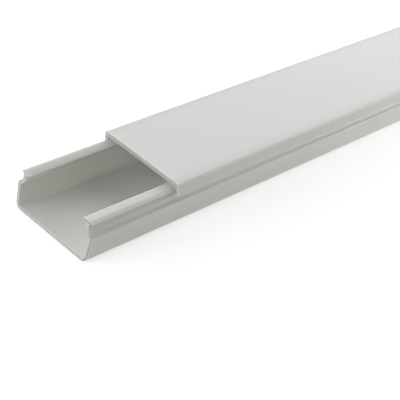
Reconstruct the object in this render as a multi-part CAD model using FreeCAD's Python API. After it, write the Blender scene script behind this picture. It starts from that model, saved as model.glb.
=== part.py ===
"""Self-adhesive cord cover raceway: a snap-lip channel, its cover, the tape and the tape's liner.

Millimetres. X runs along the raceway, Y across it and Z up from the surface it lies on.
The origin is the middle of the back, on the underside of the liner. The cover is stored
slid along the channel, so that one end of the channel lies open.
"""

import os

import FreeCAD
import Part

# Lengths
raceway_length = 400.0
cover_length = 400.0
cover_set_back = 40.65

# Adhesive back
tape_width = 29.0
tape_end_gap = 2.0
tape_thickness = 0.2
liner_thickness = 0.1

# Channel: floor and walls
channel_width = 38.2
floor_thickness = 1.1
wall_thickness = 1.1
wall_flare = 0.6
corner_radius = 2.6
shoulder_height = 11.45

# Channel: knee inside the shoulder, and neck above it
knee_drop = 1.1
knee_rise = 0.6
knee_step = 0.95
neck_inset = 1.6
neck_thickness = 1.4
neck_straight = 1.8
neck_lean = 0.35
cove_depth = 0.65

# Channel: snap lip on each neck
lip_above_shoulder = 5.6
lip_flat_width = 3.55
lip_edge_thickness = 0.25
lip_root_thickness = 1.75
barb_reach = 0.75
barb_underside_rise = 0.45
barb_bevel_height = 0.6
barb_bevel_width = 1.35
waist_drop = 1.1

# Cover
cover_thickness = 2.0
cover_clearance_above_lip = 0.95
cover_corner_radius = 0.9
cover_inner_radius = 0.5
flange_thickness = 0.9
barb_side_clearance = 0.25
snap_clearance = 0.25
hook_overlap = 0.45
hook_foot_height = 1.38
hook_land = 0.25
seat_rib_overlap = 0.45
seat_rib_land = 0.3

# Derived places, shared by the pieces
channel_bottom = tape_thickness + liner_thickness
half_bottom = channel_width / 2
half_shoulder = half_bottom + wall_flare
shoulder_z = channel_bottom + shoulder_height
lip_top_z = shoulder_z + lip_above_shoulder

half_waist = half_bottom - neck_inset
half_neck_inner = half_waist - neck_thickness
half_barb_root = half_waist + neck_lean
half_barb = half_barb_root + barb_reach
half_bevel_top = half_barb - barb_bevel_width
half_lip_inner = half_bevel_top - lip_flat_width

barb_z = lip_top_z - barb_bevel_height
barb_root_z = barb_z - barb_underside_rise
waist_z = barb_root_z - waist_drop
lip_root_z = lip_top_z - lip_root_thickness

half_flange_inner = half_barb + barb_side_clearance
half_flange_outer = half_flange_inner + flange_thickness
cover_under_z = lip_top_z + cover_clearance_above_lip
cover_top_z = cover_under_z + cover_thickness


def vector(y, z):
    """A point of the section, at the middle of the length."""
    return FreeCAD.Vector(0, y, z)


def line(start, end):
    return Part.LineSegment(vector(*start), vector(*end)).toShape()


def arc(start, middle, end):
    return Part.Arc(vector(*start), vector(*middle), vector(*end)).toShape()


def bowed_arc(start, end, depth):
    """An arc from start to end that bows to the left of the chord by depth."""
    chord_y = end[0] - start[0]
    chord_z = end[1] - start[1]
    chord = (chord_y**2 + chord_z**2) ** 0.5
    middle = (
        (start[0] + end[0]) / 2 - depth * chord_z / chord,
        (start[1] + end[1]) / 2 + depth * chord_y / chord,
    )
    return arc(start, middle, end)


def round_corner(centre, radius, from_side, to_side):
    """A quarter circle about centre, from one unit direction to another at right angles."""
    diagonal = 0.5**0.5
    start = (centre[0] + radius * from_side[0], centre[1] + radius * from_side[1])
    end = (centre[0] + radius * to_side[0], centre[1] + radius * to_side[1])
    middle = (
        centre[0] + radius * diagonal * (from_side[0] + to_side[0]),
        centre[1] + radius * diagonal * (from_side[1] + to_side[1]),
    )
    return start, end, arc(start, middle, end)


def chain(points):
    """Straight edges through the points, in order."""
    return [line(start, end) for start, end in zip(points, points[1:])]


def symmetric_bar(half_edges, start_x, length):
    """Mirror an open half section in the plane Y = 0, close it and extrude it along X."""
    half_wire = Part.Wire(half_edges)
    mirrored = half_wire.mirror(vector(0, 0), FreeCAD.Vector(0, 1, 0))
    outline = Part.Wire(Part.__sortEdges__(half_wire.Edges + mirrored.Edges))
    bar = Part.Face(outline).extrude(FreeCAD.Vector(length, 0, 0))
    bar.translate(FreeCAD.Vector(start_x, 0, 0))
    return bar.removeSplitter()


def channel_section():
    """Right half of the channel, from the middle of the underside round to the floor."""
    floor_z = channel_bottom + floor_thickness
    inner_radius = max(corner_radius - wall_thickness, 0.3)
    half_wall_inner = half_bottom - wall_thickness
    half_knee_wall = half_shoulder - wall_thickness
    knee_wall_z = shoulder_z - knee_drop
    down, out = (0, -1), (1, 0)

    outer_centre = (half_bottom - corner_radius, channel_bottom + corner_radius)
    outer_start, outer_end, outer_corner = round_corner(outer_centre, corner_radius, down, out)
    inner_centre = (half_wall_inner - inner_radius, floor_z + inner_radius)
    inner_start, inner_end, inner_corner = round_corner(inner_centre, inner_radius, out, down)

    shoulder = (half_shoulder, shoulder_z)
    waist = (half_waist, waist_z)

    edges = [line((0, channel_bottom), outer_start), outer_corner, line(outer_end, shoulder)]
    edges.append(bowed_arc(shoulder, waist, cove_depth))
    edges += chain([
        waist,
        (half_barb_root, barb_root_z),
        (half_barb, barb_z),
        (half_bevel_top, lip_top_z),
        (half_lip_inner, lip_top_z),
        (half_lip_inner, lip_top_z - lip_edge_thickness),
        (half_neck_inner, lip_root_z),
        (half_neck_inner, lip_root_z - neck_straight),
        (half_knee_wall - knee_step, knee_wall_z + knee_rise),
        (half_knee_wall, knee_wall_z),
        inner_start,
    ])
    edges += [inner_corner, line(inner_end, (0, floor_z))]
    return edges


def cover_section():
    """Right half of the cover, from the middle of its top round to its underside."""
    half_hook = half_barb - hook_overlap
    half_rib = half_barb - seat_rib_overlap
    groove_low_z = barb_z - snap_clearance
    groove_high_z = barb_z + snap_clearance
    hook_top_z = groove_low_z - hook_overlap * barb_underside_rise / barb_reach
    foot_z = hook_top_z - hook_foot_height
    rib_low_z = groove_high_z + seat_rib_overlap * barb_bevel_height / barb_bevel_width
    rib_top_z = rib_low_z + seat_rib_land
    up, out = (0, 1), (1, 0)

    outer_centre = (half_flange_outer - cover_corner_radius, cover_top_z - cover_corner_radius)
    outer_start, outer_end, outer_corner = round_corner(outer_centre, cover_corner_radius, up, out)
    inner_centre = (half_flange_inner - cover_inner_radius, cover_under_z - cover_inner_radius)
    inner_start, inner_end, inner_corner = round_corner(inner_centre, cover_inner_radius, out, up)

    edges = [line((0, cover_top_z), outer_start), outer_corner]
    edges += chain([
        outer_end,
        (half_flange_outer, foot_z),
        (half_hook + hook_foot_height - hook_land, foot_z),
        (half_hook, hook_top_z - hook_land),
        (half_hook, hook_top_z),
        (half_barb, groove_low_z),
        (half_flange_inner, groove_low_z),
        (half_flange_inner, groove_high_z),
        (half_barb, groove_high_z),
        (half_rib, rib_low_z),
        (half_rib, rib_top_z),
        inner_start,
    ])
    edges += [inner_corner, line(inner_end, (0, cover_under_z))]
    return edges


def base_channel():
    return symmetric_bar(channel_section(), -raceway_length / 2, raceway_length)


def cover():
    return symmetric_bar(cover_section(), -raceway_length / 2 + cover_set_back, cover_length)


def flat_strip(thickness, bottom_z):
    """A strip of the tape's width along the back, short of the channel's two ends."""
    length = raceway_length - 2 * tape_end_gap
    corner = FreeCAD.Vector(-length / 2, -tape_width / 2, bottom_z)
    return Part.makeBox(length, tape_width, thickness, corner)


pieces = {
    "base_channel": base_channel(),
    "cover": cover(),
    "adhesive_tape": flat_strip(tape_thickness, liner_thickness),
    "release_liner": flat_strip(liner_thickness, 0.0),
}

os.makedirs("parts", exist_ok=True)
for name, shape in pieces.items():
    shape.exportStep("parts/" + name + ".step")
    box = shape.BoundBox
    print(name, "valid", shape.isValid(), "volume", round(shape.Volume, 1),
          "X", round(box.XMin, 2), round(box.XMax, 2),
          "Y", round(box.YMin, 2), round(box.YMax, 2),
          "Z", round(box.ZMin, 2), round(box.ZMax, 2))
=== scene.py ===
# %% [markdown]
# # Cord cover raceway
#
# The object is a length of small white PVC trunking that hides cables along a wall.
# It has two extrusions, a channel with snap lips and a cover that clicks over them.
# A strip of adhesive tape with its release liner runs along the back.
# This notebook dresses the finished solids: it sets up the view and the light, mixes the
# plastics, and models each piece again with round arcs and sawn ends.

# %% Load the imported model
import math

import bmesh
import bpy
from mathutils import Matrix, Vector, noise
from mathutils.kdtree import KDTree


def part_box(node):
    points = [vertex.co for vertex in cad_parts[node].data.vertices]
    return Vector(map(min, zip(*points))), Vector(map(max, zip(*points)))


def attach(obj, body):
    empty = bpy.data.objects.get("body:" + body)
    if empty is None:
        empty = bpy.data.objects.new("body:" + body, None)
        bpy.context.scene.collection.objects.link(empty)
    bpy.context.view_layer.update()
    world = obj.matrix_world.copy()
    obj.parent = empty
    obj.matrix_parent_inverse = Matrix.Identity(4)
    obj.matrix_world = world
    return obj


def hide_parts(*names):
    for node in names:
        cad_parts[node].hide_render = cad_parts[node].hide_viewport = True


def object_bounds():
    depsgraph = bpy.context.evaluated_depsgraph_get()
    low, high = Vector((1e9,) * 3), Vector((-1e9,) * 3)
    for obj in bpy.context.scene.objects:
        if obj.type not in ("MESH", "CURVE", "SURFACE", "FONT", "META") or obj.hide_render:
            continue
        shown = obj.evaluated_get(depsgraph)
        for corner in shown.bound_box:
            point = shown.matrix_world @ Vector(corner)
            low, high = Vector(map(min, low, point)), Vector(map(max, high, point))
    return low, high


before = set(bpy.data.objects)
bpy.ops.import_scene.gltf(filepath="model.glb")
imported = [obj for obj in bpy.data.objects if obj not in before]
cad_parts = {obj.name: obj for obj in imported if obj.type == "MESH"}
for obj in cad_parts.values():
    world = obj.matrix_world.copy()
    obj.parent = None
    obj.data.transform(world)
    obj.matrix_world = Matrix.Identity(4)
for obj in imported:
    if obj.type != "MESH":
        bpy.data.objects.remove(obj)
cad_low, cad_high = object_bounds()
bpy.context.scene.view_settings.view_transform = "Standard"
channel_low, channel_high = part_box("base_channel")
cover_low, cover_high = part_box("cover")
mm = 0.001
print("the whole object is", [round(v / mm, 1) for v in cad_high - cad_low], "mm")

# %% [markdown]
# ## The camera
#
# The photograph looks down along the raceway from its open end. The vanishing lines of
# the cover's edges and of the cut end gave the direction, the roll and the lens, and the
# width of the channel's back gave the distance. The place is measured from the middle of
# the channel's open end, so that it follows the model if the length changes.

# %% Place the camera
view_turn = math.radians(54.68)
view_down = math.radians(34.37)
view_roll = math.radians(14.90)
photo_size_px = 400
focal_length_px = 1254.5
open_end = Vector((channel_low.x, 0.0, channel_low.z))
camera_from_open_end = Vector((-0.2599, -0.2434, 0.2722))

camera_data = bpy.data.cameras.new("camera")
camera_data.sensor_width = 36.0
camera_data.lens = camera_data.sensor_width * focal_length_px / photo_size_px
camera = bpy.data.objects.new("camera", camera_data)
bpy.context.scene.collection.objects.link(camera)
camera.matrix_world = (
    Matrix.Translation(open_end + camera_from_open_end)
    @ Matrix.Rotation(-view_turn, 4, "Z")
    @ Matrix.Rotation(math.radians(90) - view_down, 4, "X")
    @ Matrix.Rotation(view_roll, 4, "Z")
)
bpy.context.scene.camera = camera
print("the lens is", round(camera_data.lens, 1), "mm")

# %% [markdown]
# ## Floor and light
#
# The raceway lies on a white sheet. The floor is a plain diffuse white that the camera
# sees a little brighter than the lamps make it, so that it reads as paper white and still
# takes the shadow of the object. Soft boxes stand round the table as in a light tent. A
# strong one faces the open end, so that the inside of the channel shows, and a small close
# one brightens the first centimetres of its floor. Another small one, low down, lifts the
# far part of the wall. The backdrop is white to the eye and in reflections, but sheds no
# light of its own. The levels of the lamps were fitted to the tones of the photograph.

# %% Make the floor
def add_node(tree, kind, **values):
    """Add a node, and set its attributes and the inputs that have the same names."""
    node = tree.nodes.new(kind)
    for name, value in values.items():
        if hasattr(node, name):
            setattr(node, name, value)
        else:
            node.inputs[name.replace("_", " ").title()].default_value = value
    return node


def seen_directly(tree):
    """1 for what the camera sees, also in a reflection or through glass, and 0 for light."""
    rays = add_node(tree, "ShaderNodeLightPath")
    seen = rays.outputs["Is Camera Ray"]
    for kind in ("Is Glossy Ray", "Is Transmission Ray"):
        either = add_node(tree, "ShaderNodeMath", operation="MAXIMUM")
        tree.links.new(seen, either.inputs[0])
        tree.links.new(rays.outputs[kind], either.inputs[1])
        seen = either.outputs["Value"]
    return seen


floor_half_width = 4.0
floor_colour = 0.90
floor_glow_for_camera = 0.52

floor_bm = bmesh.new()
bmesh.ops.create_grid(floor_bm, x_segments=1, y_segments=1, size=floor_half_width)
floor_mesh = bpy.data.meshes.new("floor")
floor_bm.to_mesh(floor_mesh)
floor_bm.free()
floor = bpy.data.objects.new("floor", floor_mesh)
bpy.context.scene.collection.objects.link(floor)

paper = bpy.data.materials.new("white_paper")
paper.use_nodes = True
tree = paper.node_tree
tree.nodes.clear()
matt = add_node(tree, "ShaderNodeBsdfDiffuse")
matt.inputs["Color"].default_value = (floor_colour, floor_colour, floor_colour, 1.0)
glow = add_node(tree, "ShaderNodeEmission")
seen = seen_directly(tree)
level = add_node(tree, "ShaderNodeMath", operation="MULTIPLY")
level.inputs[1].default_value = floor_glow_for_camera
both = add_node(tree, "ShaderNodeAddShader")
out = add_node(tree, "ShaderNodeOutputMaterial")
tree.links.new(seen, level.inputs[0])
tree.links.new(level.outputs["Value"], glow.inputs["Strength"])
tree.links.new(matt.outputs["BSDF"], both.inputs[0])
tree.links.new(glow.outputs["Emission"], both.inputs[1])
tree.links.new(both.outputs["Shader"], out.inputs["Surface"])
floor.data.materials.append(paper)
print("the floor is", 2 * floor_half_width, "m wide")

# %% Make the backdrop
world = bpy.data.worlds.new("white_backdrop")
bpy.context.scene.world = world
world.use_nodes = True
tree = world.node_tree
tree.nodes.clear()
seen = seen_directly(tree)
dark = add_node(tree, "ShaderNodeBackground")
dark.inputs["Color"].default_value = (1.0, 1.0, 1.0, 1.0)
dark.inputs["Strength"].default_value = 0.0
white = add_node(tree, "ShaderNodeBackground")
white.inputs["Color"].default_value = (1.0, 1.0, 1.0, 1.0)
choose = add_node(tree, "ShaderNodeMixShader")
out = add_node(tree, "ShaderNodeOutputWorld")
tree.links.new(seen, choose.inputs["Fac"])
tree.links.new(dark.outputs["Background"], choose.inputs[1])
tree.links.new(white.outputs["Background"], choose.inputs[2])
tree.links.new(choose.outputs["Shader"], out.inputs["Surface"])
print("the backdrop is", world.name)


# %% Hang the soft boxes
def soft_box(name, place, aim, width, height, level):
    """A large lamp at place, facing aim. Level is how bright a white card at aim looks."""
    reach = Vector(aim) - Vector(place)
    box = bpy.data.lights.new(name, "AREA")
    box.shape = "RECTANGLE"
    box.size = width
    box.size_y = height
    box.energy = level * math.pi**2 * reach.length_squared
    lamp = bpy.data.objects.new(name, box)
    turn = reach.to_track_quat("-Z", "Y").to_matrix().to_4x4()
    lamp.matrix_world = Matrix.Translation(place) @ turn
    bpy.context.scene.collection.objects.link(lamp)
    print("the lamp", name, "is", round(reach.length, 2), "m away")


middle = (0.0, 0.0, 0.0)
near_part = (-0.15, 0.0, 0.0)
far_part = (0.12, 0.0, 0.01)
open_floor = (-0.195, -0.01, 0.0)
soft_box("over_far_end", (0.70, 0.0, 1.00), middle, 1.2, 1.2, 0.258)
soft_box("over_and_behind", (0.30, 0.65, 1.10), middle, 1.2, 1.0, 0.072)
soft_box("far_end_and_behind", (1.10, 0.90, 0.50), middle, 1.0, 0.7, 0.292)
soft_box("open_end_and_behind", (-1.10, 0.90, 0.50), near_part, 1.0, 0.7, 0.130)
soft_box("low_behind", (0.20, 1.30, 0.20), middle, 1.6, 0.35, 0.185)
soft_box("open_end", (-1.40, 0.04, 0.45), near_part, 1.2, 0.8, 0.650)
soft_box("open_end_high", (-1.00, 0.0, 0.90), near_part, 1.2, 0.8, 0.070)
soft_box("close_to_open_end", (-0.36, 0.14, 0.14), open_floor, 0.2, 0.1, 0.110)
soft_box("low_side", (0.34, -0.30, 0.07), far_part, 0.4, 0.14, 0.880)

# %% [markdown]
# ## Rigid PVC
#
# Extruded PVC is a satin white. The die leaves faint lines along the length, and the skin
# has soft patches that differ a little in tone and gloss. A shader node group makes both
# from noise that is stretched along X, so that every plastic surface can share it. Its
# input sets how close the lines lie. Some grooves, edges and walls get painted shade: a
# second, darker colour. It follows two attributes of the outlines: the painted shade band,
# and the open shade band, which fades out under the cover.

# %% Build the group of die lines
def new_group(name, inputs, outputs):
    """A shader node group with its sockets, and its input and output nodes."""
    group = bpy.data.node_groups.new(name, "ShaderNodeTree")
    for socket, kind, value in inputs:
        made = group.interface.new_socket(socket, in_out="INPUT", socket_type=kind)
        made.default_value = value
    for socket, kind in outputs:
        group.interface.new_socket(socket, in_out="OUTPUT", socket_type=kind)
    entry = group.nodes.new("NodeGroupInput")
    leave = group.nodes.new("NodeGroupOutput")
    return group, entry, leave


def stretched_noise(tree, place, stretch, scale, detail=3.0):
    """Noise on a place that is squeezed along each axis by stretch."""
    squeeze = add_node(tree, "ShaderNodeMapping")
    squeeze.inputs["Scale"].default_value = stretch
    cloud = add_node(tree, "ShaderNodeTexNoise")
    cloud.inputs["Scale"].default_value = scale
    cloud.inputs["Detail"].default_value = detail
    tree.links.new(place, squeeze.inputs["Vector"])
    tree.links.new(squeeze.outputs["Vector"], cloud.inputs["Vector"])
    return cloud.outputs["Fac"]


usual_lines_per_metre = 900.0
patches_per_metre = 60.0
stretch_of_lines = (0.012, 1.0, 1.0)
stretch_of_patches = (0.25, 1.0, 1.0)

die_lines, entry, leave = new_group(
    "die_lines",
    [("Lines per metre", "NodeSocketFloat", usual_lines_per_metre)],
    [("Height", "NodeSocketFloat"), ("Patches", "NodeSocketFloat")],
)
place = add_node(die_lines, "ShaderNodeTexCoord")
fine = stretched_noise(
    die_lines, place.outputs["Object"], stretch_of_lines, usual_lines_per_metre)
patches = stretched_noise(
    die_lines, place.outputs["Object"], stretch_of_patches, patches_per_metre, detail=2.0)
die_lines.links.new(entry.outputs["Lines per metre"], fine.node.inputs["Scale"])
die_lines.links.new(fine, leave.inputs["Height"])
die_lines.links.new(patches, leave.inputs["Patches"])
print("the group", die_lines.name, "has", len(die_lines.nodes), "nodes")

# %% [markdown]
# ## Skin and sawn faces
#
# The skin of each extrusion gets the die lines. The sawn ends are duller. On the channel a
# thin darker line runs along the outer edge of the cut, most of all on the near wall and
# lip. The cover's cut is painted darker as shade, all but a thin lighter rim on the near
# flange. The mesh of an end carries two attributes: how far a point lies from the outer
# skin, and how much of a rim there is on that side. The material turns both into the mask
# of the line. White plastic also lets a little light in, so each one has some subsurface
# scatter.

# %% Colours and how they mix
def linear(red, green, blue):
    """A colour as a screen shows it, 0 to 255, in the scene's linear light."""
    levels = []
    for value in (red, green, blue):
        share = value / 255
        levels.append(share / 12.92 if share <= 0.04045 else ((share + 0.055) / 1.055) ** 2.4)
    return tuple(levels)


def mix_by(tree, mask, low, high):
    """A colour that goes from low to high with a mask. Each is a colour or a socket."""
    mix = add_node(tree, "ShaderNodeMix", data_type="RGBA")
    tree.links.new(mask, mix.inputs[0])
    for socket, value in ((mix.inputs[6], low), (mix.inputs[7], high)):
        if isinstance(value, tuple):
            socket.default_value = (*value, 1.0)
        else:
            tree.links.new(value, socket)
    return mix.outputs[2]


def darker(colour, share):
    return tuple(level * share for level in colour)


# %% Masks for the rim of a cut and for painted shade on the skin
open_fade_start = 1.0 * mm
open_fade_end = 9.0 * mm


def rim_mask(tree, width_mm, softness_mm=0.12):
    """1 on a cut face near its outer edge, times the rim share, and 0 further in."""
    distance = add_node(tree, "ShaderNodeAttribute", attribute_name="skin_distance_mm")
    fade = add_node(tree, "ShaderNodeMapRange")
    fade.inputs["From Min"].default_value = width_mm
    fade.inputs["From Max"].default_value = width_mm + softness_mm
    fade.inputs["To Min"].default_value = 1.0
    fade.inputs["To Max"].default_value = 0.0
    rim_share = add_node(tree, "ShaderNodeAttribute", attribute_name="rim_share")
    both = add_node(tree, "ShaderNodeMath", operation="MULTIPLY")
    tree.links.new(distance.outputs["Fac"], fade.inputs["Value"])
    tree.links.new(fade.outputs["Result"], both.inputs[0])
    tree.links.new(rim_share.outputs["Fac"], both.inputs[1])
    return both.outputs["Value"]


def painted_shade_mask(tree, open_until):
    """Painted shade from painted_shade_band, and from open_shade_band until a little past
    open_until.
    """
    band_shade = add_node(tree, "ShaderNodeAttribute", attribute_name="painted_shade_band")
    in_the_open = add_node(tree, "ShaderNodeAttribute", attribute_name="open_shade_band")
    place = add_node(tree, "ShaderNodeTexCoord")
    along = add_node(tree, "ShaderNodeSeparateXYZ")
    fade = add_node(tree, "ShaderNodeMapRange")
    fade.inputs["From Min"].default_value = open_until + open_fade_start
    fade.inputs["From Max"].default_value = open_until + open_fade_end
    fade.inputs["To Min"].default_value = 1.0
    fade.inputs["To Max"].default_value = 0.0
    both = add_node(tree, "ShaderNodeMath", operation="MULTIPLY_ADD")
    tree.links.new(place.outputs["Object"], along.inputs["Vector"])
    tree.links.new(along.outputs["X"], fade.inputs["Value"])
    tree.links.new(in_the_open.outputs["Fac"], both.inputs[0])
    tree.links.new(fade.outputs["Result"], both.inputs[1])
    tree.links.new(band_shade.outputs["Fac"], both.inputs[2])
    return both.outputs["Value"]


# %% Describe a plastic
gloss_unevenness = 0.06
tone_of_patches = 0.96
pvc_refraction = 1.53
share_scattered = 0.5
scatter_reach = 2.0 * mm


def plastic(name, colour, masked_colour, roughness, lines_per_metre, line_height,
            rim_width_mm=0.0, open_until=cad_high.x):
    """A white PVC that is uneven by up to 4 %, and goes to its masked colour by a mask.

    On the skin the mask is painted shade from the two shade bands, and on a cut it is the rim.
    """
    material = bpy.data.materials.new(name)
    material.use_nodes = True
    tree = material.node_tree
    surface = tree.nodes["Principled BSDF"]
    surface.inputs["IOR"].default_value = pvc_refraction
    surface.inputs["Subsurface Weight"].default_value = share_scattered
    surface.inputs["Subsurface Radius"].default_value = (1.0, 1.0, 1.0)
    surface.inputs["Subsurface Scale"].default_value = scatter_reach
    lines = add_node(tree, "ShaderNodeGroup")
    lines.node_tree = die_lines
    lines.inputs["Lines per metre"].default_value = lines_per_metre

    uneven = mix_by(tree, lines.outputs["Patches"], darker(colour, tone_of_patches), colour)
    if rim_width_mm > 0.0:
        mask = rim_mask(tree, rim_width_mm)
    else:
        mask = painted_shade_mask(tree, open_until)
    shaded = mix_by(tree, mask, uneven, masked_colour)
    tree.links.new(shaded, surface.inputs["Base Color"])

    gloss = add_node(tree, "ShaderNodeMapRange")
    gloss.inputs["To Min"].default_value = roughness - gloss_unevenness
    gloss.inputs["To Max"].default_value = roughness + gloss_unevenness
    tree.links.new(lines.outputs["Patches"], gloss.inputs["Value"])
    tree.links.new(gloss.outputs["Result"], surface.inputs["Roughness"])

    bump = add_node(tree, "ShaderNodeBump")
    bump.inputs["Strength"].default_value = 1.0
    bump.inputs["Distance"].default_value = line_height
    tree.links.new(lines.outputs["Height"], bump.inputs["Height"])
    tree.links.new(bump.outputs["Normal"], surface.inputs["Normal"])
    return material


# %% Mix the plastics
skin_roughness = 0.42
sawn_roughness = 0.62
saw_marks_per_metre = 2500.0
saw_mark_height = 0.010 * mm
cover_white = linear(237, 237, 236)
# painted shade for the cover's flanges and rounded top edges
cover_painted_shade_white = linear(224, 225, 217)
channel_white = linear(232, 231, 226)
# painted shade for the channel's cove, barb, lips, inner fillet and outer walls
channel_painted_shade_white = linear(210, 210, 203)
# the cover's cut, painted darker as shade; its near flange keeps a thin lighter rim
cover_cut_shaded_white = linear(178, 178, 172)
cover_rim_white = linear(190, 191, 185)
channel_cut_white = linear(186, 186, 180)
# a darker line along the outer edge of the channel's cut
dark_rim_grey = linear(124, 125, 119)

cover_skin = plastic(
    "pvc_cover_skin", cover_white, cover_painted_shade_white, skin_roughness,
    usual_lines_per_metre, line_height=0.004 * mm)
channel_skin = plastic(
    "pvc_channel_skin", channel_white, channel_painted_shade_white, skin_roughness,
    lines_per_metre=1100.0, line_height=0.005 * mm, open_until=cover_low.x)
cover_cut = plastic(
    "pvc_cover_sawn", cover_cut_shaded_white, cover_rim_white, sawn_roughness,
    saw_marks_per_metre, saw_mark_height, rim_width_mm=0.30)
channel_cut = plastic(
    "pvc_channel_sawn", channel_cut_white, dark_rim_grey, sawn_roughness,
    saw_marks_per_metre, saw_mark_height, rim_width_mm=0.40)
print("mixed", [made.name for made in (cover_skin, channel_skin, cover_cut, channel_cut)])

# %% [markdown]
# ## Drawing a section
#
# Both plastics are extrusions, so each starts as half an outline in the plane of the cut
# end. The outline grows from one vertex: a straight edge pulls a new vertex out of the
# last one, and a spin swings it round a centre where the section is round. That keeps the
# few real sizes in sight, and the arcs come out as smooth as the steps allow.

# %% Helpers that draw an outline
arc_steps = 8


def straight_to(bm, last, y, z):
    """Pull a new vertex out of the last one and put it at y, z."""
    pulled = bmesh.ops.extrude_vert_indiv(bm, verts=[last])["verts"][0]
    pulled.co = (0.0, y, z)
    return pulled


def straight_through(bm, last, points):
    for y, z in points:
        last = straight_to(bm, last, y, z)
    return last


def swing(bm, last, centre_y, centre_z, degrees, steps=arc_steps):
    """Spin the last vertex about the X direction through a centre."""
    spun = bmesh.ops.spin(
        bm, geom=[last], cent=(0.0, centre_y, centre_z), axis=(1.0, 0.0, 0.0),
        angle=math.radians(degrees), steps=steps, use_duplicate=False,
    )
    return next(part for part in spun["geom_last"] if isinstance(part, bmesh.types.BMVert))


def bow_to(bm, last, y, z, depth, steps=2 * arc_steps):
    """Swing the last vertex to y, z on an arc that bows to the left by depth.

    A depth below zero bows to the right.
    """
    start = Vector((last.co.y, last.co.z))
    chord = Vector((y, z)) - start
    radius = (chord.length**2 / 4 + depth**2) / (2 * depth)
    leftwards = Vector((-chord.y, chord.x)).normalized()
    centre = start + chord / 2 - leftwards * (radius - depth)
    degrees = 2 * math.degrees(math.asin(chord.length / 2 / radius))
    return swing(bm, last, centre.x, centre.y, -degrees, steps)


# %% [markdown]
# ## From outline to bar
#
# A mirror completes the outline, and the long edges are divided. The real extrusion isn't
# quite the same on both sides, so a piece can bend its outline here. Filling and extruding
# gives the bar. Both end faces are then cut into small cells that store how far they lie
# from the outer skin, and their rim is pulled outwards by about a tenth of a millimetre of
# noise, as a saw leaves it. The outline's layers name the outer skin and the bands of
# painted shade.

# %% Helpers that divide, measure and cut
outline_pitch = 1.0 * mm
skin_pitch = 0.05 * mm
cell = 0.4 * mm
rim_depth = 0.30 * mm
burr_height = 0.12 * mm
burr_grain_per_metre = 900.0
inner_burr_share = 0.35
length_pitch = 25.0 * mm
merge_distance = 0.001 * mm
smooth_below_degrees = 17
nearly_one = 0.99
cut_slot = 1


def divide_long_edges(bm, pitch):
    for edge in list(bm.edges):
        cuts = int(edge.calc_length() / pitch)
        if cuts > 0:
            bmesh.ops.subdivide_edges(bm, edges=[edge], cuts=cuts)


def skin_points(bm):
    """Closely spaced points along the outer skin of an outline, for measuring from."""
    outer_skin = bm.verts.layers.float["outer_skin"]
    points = []
    for edge in bm.edges:
        start, end = edge.verts
        if min(start[outer_skin], end[outer_skin]) > nearly_one:
            steps = 1 + int(edge.calc_length() / skin_pitch)
            points += [start.co.lerp(end.co, k / steps) for k in range(steps + 1)]
    tree = KDTree(len(points))
    for k, point in enumerate(points):
        tree.insert((0.0, point.y, point.z), k)
    tree.balance()
    return tree


def cut_at(bm, geometry, place, direction):
    bmesh.ops.bisect_plane(bm, geom=geometry, plane_co=place, plane_no=direction)


def cut_across(bm, x):
    cut_at(bm, bm.verts[:] + bm.edges[:] + bm.faces[:], (x, 0, 0), (1, 0, 0))


def cut_ends_into_cells(bm, low, high):
    """Cut the end faces, which have the sawn slot, along Y and Z every cell."""
    for axis, direction in ((1, (0, 1, 0)), (2, (0, 0, 1))):
        for k in range(1, int((high[axis] - low[axis]) / cell)):
            ends = [face for face in bm.faces if face.material_index == cut_slot]
            parts = {part for face in ends for part in (face, *face.edges, *face.verts)}
            place = [0.0, 0.0, 0.0]
            place[axis] = low[axis] + k * cell
            cut_at(bm, list(parts), place, direction)


# %% Turn a half outline into a bar
def close_outline(bm, reshape):
    """Mirror a half outline, divide its long edges and let reshape bend it."""
    bmesh.ops.mirror(bm, geom=bm.verts[:] + bm.edges[:], axis="Y", merge_dist=merge_distance)
    bmesh.ops.remove_doubles(bm, verts=bm.verts[:], dist=merge_distance)
    divide_long_edges(bm, outline_pitch)
    if reshape:
        reshape(bm)


def pull_bar(bm, low, high):
    """Fill the outline, pull it from low.x to high.x and mark both ends as sawn."""
    bmesh.ops.translate(bm, verts=bm.verts[:], vec=(low.x, 0.0, 0.0))
    start_face = bmesh.ops.contextual_create(bm, geom=bm.edges[:])["faces"][0]
    pulled = bmesh.ops.extrude_face_region(bm, geom=[start_face], use_keep_orig=True)
    far_verts = [part for part in pulled["geom"] if isinstance(part, bmesh.types.BMVert)]
    bmesh.ops.translate(bm, verts=far_verts, vec=(high.x - low.x, 0.0, 0.0))
    bmesh.ops.recalc_face_normals(bm, faces=bm.faces[:])
    for face in bm.faces:
        if abs(face.normal.x) > nearly_one:
            face.material_index = cut_slot


def divide_bar(bm, low, high):
    """Cut the bar across at stations and behind the rims, and its ends into cells."""
    stations = int((high.x - low.x) / length_pitch)
    for k in range(1, stations):
        cut_across(bm, low.x + k * (high.x - low.x) / stations)
    cut_across(bm, low.x + rim_depth)
    cut_across(bm, high.x - rim_depth)
    cut_ends_into_cells(bm, low, high)


def fray_ends(bm, middle_x, skin, rim_share_at):
    """Store the distance to the skin and the rim share on both ends, and pull out their burr."""
    distance_mm = bm.verts.layers.float["skin_distance_mm"]
    rim_share = bm.verts.layers.float["rim_share"]
    ends = [face for face in bm.faces if face.material_index == cut_slot]
    for vert in {vert for face in ends for vert in face.verts}:
        nearest = skin.find((0.0, vert.co.y, vert.co.z))[2]
        vert[distance_mm] = nearest / mm
        vert[rim_share] = rim_share_at(vert.co.y, vert.co.z)
        if any(face.material_index != cut_slot for face in vert.link_faces):
            outwards = 1.0 if vert.co.x > middle_x else -1.0
            raggedness = 0.5 + 0.5 * noise.noise(vert.co * burr_grain_per_metre)
            share = 1.0 if nearest < skin_pitch else inner_burr_share
            vert.co.x += outwards * burr_height * raggedness * share


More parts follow.
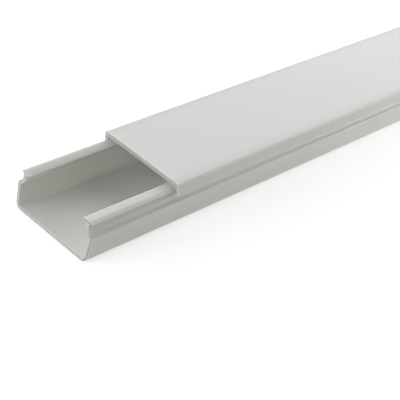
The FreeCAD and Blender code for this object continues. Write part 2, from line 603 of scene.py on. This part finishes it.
def object_of(name, bm, slots):
    mesh = bpy.data.meshes.new(name)
    bm.to_mesh(mesh)
    bm.free()
    mesh.shade_smooth()
    mesh.set_sharp_from_angle(angle=math.radians(smooth_below_degrees))
    for material in slots:
        mesh.materials.append(material)
    piece = bpy.data.objects.new(name, mesh)
    bpy.context.scene.collection.objects.link(piece)
    print(name, "has", len(mesh.polygons), "faces")
    return piece


def extruded_bar(name, bm, low, high, slots, rim_share_at, reshape=None):
    """Close a half outline, let reshape bend it, and make the bar between low.x and high.x.

    Slots are the materials of the skin and the cut ends, and rim_share_at gives the share
    of the rim on the cut at a given y and z.
    """
    for layer in ("skin_distance_mm", "rim_share"):
        bm.verts.layers.float.new(layer)
    close_outline(bm, reshape)
    skin = skin_points(bm)
    pull_bar(bm, low, high)
    divide_bar(bm, low, high)
    fray_ends(bm, (low.x + high.x) / 2, skin, rim_share_at)
    return object_of(name, bm, slots)


# %% [markdown]
# ## The channel
#
# The channel is a flat floor with rounded bottom corners and two thin walls. Each wall
# leans out slightly to a shoulder. Above it a cove runs in to a narrow neck, and the neck
# carries a lip: a bevelled barb that points outwards, and a thin flange that points
# inwards and keeps the cables down. Inside, the wall thickens in a slanted knee. In the
# photograph the far lip is a little narrower than the near one and hangs lower, so the
# outline is bent before it is extruded. Painted shade darkens the cove, the barb and the
# lips where the cover leaves them open, the inner fillet, and the outer walls most at the
# open end.

# %% Sizes of the channel's section
floor_thickness = 1.1 * mm
wall_thickness = 1.1 * mm
wall_flare = 0.6 * mm
corner_radius = 2.6 * mm
shoulder_height = 11.45 * mm
shoulder_rounding = 0.6 * mm
shoulder_bow = 0.18 * mm
shoulder_steps = 5
shoulder_crest = 0.1 * mm
knee_drop = 1.1 * mm
knee_rise = 0.6 * mm
knee_step = 0.95 * mm
neck_inset = 1.6 * mm
neck_thickness = 1.4 * mm
neck_straight = 1.8 * mm
neck_lean = 0.35 * mm
cove_depth = 0.50 * mm
# painted shade in the inner fillet between wall and floor
fillet_painted_shade = 0.15
fillet_fade = 1.5 * mm
lip_flat_width = 3.45 * mm
lip_crest_above_flat = 0.1 * mm
lip_droop = 0.12 * mm
lip_crown = 0.03 * mm
lip_line_depth = 0.15 * mm
lip_line_width = 0.30 * mm
lip_rounding = 0.3 * mm
lip_rounding_drop = 0.10 * mm
lip_edge_thickness = 0.25 * mm
lip_root_thickness = 1.85 * mm
barb_reach = 0.75 * mm
barb_underside_rise = 0.45 * mm
barb_bevel_height = 0.7 * mm
barb_bevel_width = 1.35 * mm
waist_drop = 1.1 * mm

bottom_z = channel_low.z
lip_top_z = channel_high.z + lip_crest_above_flat
half_shoulder = channel_high.y
half_bottom = half_shoulder - wall_flare
shoulder_z = bottom_z + shoulder_height
shoulder_on_cove_z = shoulder_z + shoulder_crest
half_waist = half_bottom - neck_inset
half_neck_inner = half_waist - neck_thickness
half_barb_root = half_waist + neck_lean
half_barb = half_barb_root + barb_reach
half_bevel_top = half_barb - barb_bevel_width
half_lip_inner = half_bevel_top - lip_flat_width
barb_z = lip_top_z - barb_bevel_height
barb_root_z = barb_z - barb_underside_rise
waist_z = barb_root_z - waist_drop
lip_inner_z = lip_top_z - lip_droop
lip_root_z = lip_top_z - lip_root_thickness
floor_z = bottom_z + floor_thickness
inner_radius = corner_radius - wall_thickness
half_wall_inner = half_bottom - wall_thickness
half_knee_wall = half_shoulder - wall_thickness
knee_wall_z = shoulder_z - knee_drop
bevel_slope = barb_bevel_height / barb_bevel_width
print("the mouth between the lips is", round(2 * half_lip_inner / mm, 1), "mm wide")

# %% Draw the channel's half outline
def clamped(share):
    return min(max(share, 0.0), 1.0)


bm = bmesh.new()
outer_skin = bm.verts.layers.float.new("outer_skin")
open_shade_band = bm.verts.layers.float.new("open_shade_band")
painted_shade_band = bm.verts.layers.float.new("painted_shade_band")
last = bm.verts.new((0.0, 0.0, bottom_z))
last = straight_to(bm, last, half_bottom - corner_radius, bottom_z)
last = swing(bm, last, half_bottom - corner_radius, bottom_z + corner_radius, 90)
before_cove = set(bm.verts)
last = straight_to(bm, last, half_shoulder, shoulder_z - shoulder_rounding)
last = bow_to(
    bm, last, half_shoulder - shoulder_rounding, shoulder_on_cove_z, -shoulder_bow,
    shoulder_steps)
last = bow_to(bm, last, half_waist, waist_z, cove_depth)
last = straight_through(bm, last, [(half_barb_root, barb_root_z), (half_barb, barb_z)])
# Painted shade on the cove and barb, growing in from the shoulder.
for vert in bm.verts:
    inwards = (half_shoulder - vert.co.y) / shoulder_rounding
    vert[open_shade_band] = 0.0 if vert in before_cove else clamped(inwards)
through_barb = set(bm.verts)
last = straight_through(bm, last, [
    (half_bevel_top + lip_line_width, lip_top_z - lip_line_width * bevel_slope),
    (half_bevel_top + lip_line_width / 2, lip_top_z - lip_line_depth),
    (half_bevel_top, lip_top_z),
])
last = bow_to(bm, last, half_lip_inner + lip_rounding, lip_inner_z, -lip_crown)
last = straight_to(bm, last, half_lip_inner, lip_inner_z - lip_rounding_drop)
for vert in bm.verts:
    vert[outer_skin] = 1.0
before_inner = set(bm.verts)
last = straight_through(bm, last, [
    (half_lip_inner, lip_inner_z - lip_edge_thickness),
    (half_neck_inner, lip_root_z),
    (half_neck_inner, lip_root_z - neck_straight),
    (half_knee_wall - knee_step, knee_wall_z + knee_rise),
    (half_knee_wall, knee_wall_z),
    (half_wall_inner, floor_z + inner_radius),
])
before_fillet = set(bm.verts)
last = swing(bm, last, half_wall_inner - inner_radius, floor_z + inner_radius, -90)
before_floor = set(bm.verts)
last = straight_to(bm, last, half_wall_inner - inner_radius - fillet_fade, floor_z)
last = straight_to(bm, last, 0.0, floor_z)
for vert in bm.verts:
    if vert not in before_inner:
        vert[outer_skin] = 0.0
    if vert not in through_barb:
        vert[open_shade_band] = 0.0
    # Painted shade on the inner fillet.
    if vert in before_floor and vert not in before_fillet:
        vert[painted_shade_band] = fillet_painted_shade
print("the channel's half outline has", len(bm.verts), "points")


# %% Extrude the channel
far_lip_droop = 0.55 * mm
far_lip_shortfall = 0.32 * mm
far_lip_curl = 1.7
# painted shade on the lips, and on the outer walls near the open end
far_lip_painted_shade = 0.55
near_lip_painted_shade = 0.3
wall_painted_shade = 0.5
wall_shade_length = 150.0 * mm
wall_tolerance = 0.05 * mm
least_rim_share = 0.2


def make_lips_differ(bm):
    """The far lip is a little narrower than the near one and hangs down more. Both lips get
    painted shade, the far one more.
    """
    open_shade_band = bm.verts.layers.float["open_shade_band"]
    for vert in bm.verts:
        if -half_bevel_top < vert.co.y < 0.0 and vert.co.z > lip_root_z:
            vert[open_shade_band] = near_lip_painted_shade
        if vert.co.y > 0.0 and vert.co.z > lip_root_z:
            vert[open_shade_band] = far_lip_painted_shade
            share = clamped((half_bevel_top - vert.co.y) / lip_flat_width)
            vert.co.y += far_lip_shortfall * share
            vert.co.z -= far_lip_droop * share**far_lip_curl


def channel_rim_share(y, z):
    """The darker line along the cut's outer edge is strongest on the near wall and lip."""
    if y < 0.0 and z > waist_z:
        return 1.0
    near_wall = clamped((-y - half_bottom + corner_radius) / corner_radius)
    return least_rim_share + (1.0 - least_rim_share) * near_wall


def paint_shade_on_outer_walls(mesh):
    """Paint shade on the outer walls, darkest at the open end and fading along the length."""
    painted_shade_band = mesh.attributes["painted_shade_band"].data
    for vert in mesh.vertices:
        if abs(vert.co.y) > half_bottom - wall_tolerance and vert.co.z < shoulder_z:
            near_open_end = clamped(1.0 - (vert.co.x - channel_low.x) / wall_shade_length)
            painted_shade_band[vert.index].value = wall_painted_shade * near_open_end


channel = extruded_bar(
    "channel", bm, channel_low, channel_high,
    (channel_skin, channel_cut), channel_rim_share, make_lips_differ)
paint_shade_on_outer_walls(channel.data)
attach(channel, "channel")
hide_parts("base_channel")

# %% [markdown]
# ## The cover
#
# The cover is a flat plate with rounded edges and two short flanges. Inside each flange a
# small hook passes under the barb, and a rib rests on its bevel, so that the barb sits in
# the groove between them. The flanges lean in a little towards the top. After extruding,
# the near edge of the top is rolled down by a tenth of a millimetre. The cut near the open
# end leans: the flanges' feet lie a little further back there than the top does.

# %% Sizes of the cover's section
cover_thickness = 2.0 * mm
cover_corner_radius = 0.6 * mm
cover_inner_radius = 0.5 * mm
flange_thickness = 0.9 * mm
snap_clearance = 0.25 * mm
hook_overlap = 0.45 * mm
hook_foot_height = 1.38 * mm
hook_land = 0.25 * mm
seat_rib_overlap = 0.45 * mm
seat_rib_land = 0.3 * mm
# painted shade on the cover: fading in over the last 4 mm of the top, full on the rounded edge
# and the flange
edge_painted_shade = 0.7
edge_shade_width = 4.0 * mm
flange_lean = 0.2 * mm

top_z = cover_high.z
foot_z = cover_low.z
under_z = top_z - cover_thickness
half_flange_outer = cover_high.y
half_flange_inner = half_flange_outer - flange_thickness
half_top = half_flange_outer - flange_lean
half_hook = half_barb - hook_overlap
half_rib = half_barb - seat_rib_overlap
groove_low_z = barb_z - snap_clearance
groove_high_z = barb_z + snap_clearance
hook_top_z = foot_z + hook_foot_height
rib_low_z = groove_high_z + seat_rib_overlap * bevel_slope
print("the cover is", round(2 * half_flange_outer / mm, 1), "mm wide")

# %% Draw the cover's half outline
bm = bmesh.new()
outer_skin = bm.verts.layers.float.new("outer_skin")
painted_shade_band = bm.verts.layers.float.new("painted_shade_band")
last = bm.verts.new((0.0, 0.0, top_z))
last = straight_to(bm, last, half_top - edge_shade_width, top_z)
last = straight_to(bm, last, half_top - cover_corner_radius, top_z)
last[painted_shade_band] = edge_painted_shade
last = swing(bm, last, half_top - cover_corner_radius, top_z - cover_corner_radius, -90)
last[painted_shade_band] = 1.0
last = straight_to(bm, last, half_flange_outer, foot_z)
last[painted_shade_band] = 1.0
for vert in bm.verts:
    vert[outer_skin] = 1.0
before_inner = set(bm.verts)
last = straight_through(bm, last, [
    (half_hook + hook_foot_height - hook_land, foot_z),
    (half_hook, hook_top_z - hook_land),
    (half_hook, hook_top_z),
    (half_barb, groove_low_z),
    (half_flange_inner, groove_low_z),
    (half_flange_inner, groove_high_z),
    (half_barb, groove_high_z),
    (half_rib, rib_low_z),
    (half_rib, rib_low_z + seat_rib_land),
    (half_flange_inner, under_z - cover_inner_radius),
])
last = swing(bm, last, half_flange_inner - cover_inner_radius, under_z - cover_inner_radius, 90)
last = straight_to(bm, last, 0.0, under_z)
for vert in bm.verts:
    if vert not in before_inner:
        vert[outer_skin] = 0.0
        vert[painted_shade_band] = 0.0
print("the cover's half outline has", len(bm.verts), "points")


# %% Extrude the cover
near_roll_width = 5.0 * mm
near_roll_drop_at_cut = 0.10 * mm
near_roll_drop_at_far_end = 0.03 * mm
cut_lean = 0.8 * mm
leaning_depth = 1.5 * rim_depth


def cover_rim_share(y, z):
    """A thin lighter rim on the near flange's cut; the rest of the cut keeps its painted shade.
    """
    return clamped((-y - half_rib) / snap_clearance)


def roll_edge_and_lean_cut(mesh):
    """Roll the top's near edge down, more at the cut, and let the cut lean back."""
    for vert in mesh.vertices:
        along = (vert.co.x - cover_low.x) / (cover_high.x - cover_low.x)
        across = clamped(1.0 - (vert.co.y + half_flange_outer) / near_roll_width)
        height = clamped((vert.co.z - under_z) / cover_thickness)
        drop = near_roll_drop_at_cut + (near_roll_drop_at_far_end - near_roll_drop_at_cut) * along
        if vert.co.x < cover_low.x + leaning_depth:
            vert.co.x += cut_lean * (top_z - vert.co.z) / (top_z - foot_z)
        vert.co.z -= drop * across**2 * height


cover = extruded_bar(
    "cover_plate", bm, cover_low, cover_high,
    (cover_skin, cover_cut), cover_rim_share)
roll_edge_and_lean_cut(cover.data)
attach(cover, "cover")
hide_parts("cover")

# %% [markdown]
# ## Tape and liner
#
# A thin cream adhesive runs along the back and is covered by an amber liner. Both stay as
# the solids have them. The adhesive is slightly shiny and stippled, and the liner is a
# smooth paper with long soft fibres.

# %% Mix the adhesive and the liner, and give them to the solids
def stippled(name, colour, roughness, stretch, scale, height, unevenness):
    """A plain material with one noise for its tone and its bump."""
    material = bpy.data.materials.new(name)
    material.use_nodes = True
    tree = material.node_tree
    surface = tree.nodes["Principled BSDF"]
    surface.inputs["Roughness"].default_value = roughness
    place = add_node(tree, "ShaderNodeTexCoord")
    cloud = stretched_noise(tree, place.outputs["Object"], stretch, scale)
    uneven = mix_by(tree, cloud, darker(colour, 1.0 - unevenness), colour)
    tree.links.new(uneven, surface.inputs["Base Color"])
    bump = add_node(tree, "ShaderNodeBump")
    bump.inputs["Distance"].default_value = height
    tree.links.new(cloud, bump.inputs["Height"])
    tree.links.new(bump.outputs["Normal"], surface.inputs["Normal"])
    return material


adhesive = stippled(
    "adhesive_film", linear(212, 214, 198), roughness=0.28, stretch=(1.0, 1.0, 1.0),
    scale=1500.0, height=0.02 * mm, unevenness=0.08)
liner_paper = stippled(
    "liner_paper", linear(196, 160, 62), roughness=0.38, stretch=(0.08, 1.0, 1.0),
    scale=700.0, height=0.01 * mm, unevenness=0.14)
for node, material in (("adhesive_tape", adhesive), ("release_liner", liner_paper)):
    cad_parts[node].data.materials.clear()
    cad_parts[node].data.materials.append(material)
    print(node, "is now", material.name)
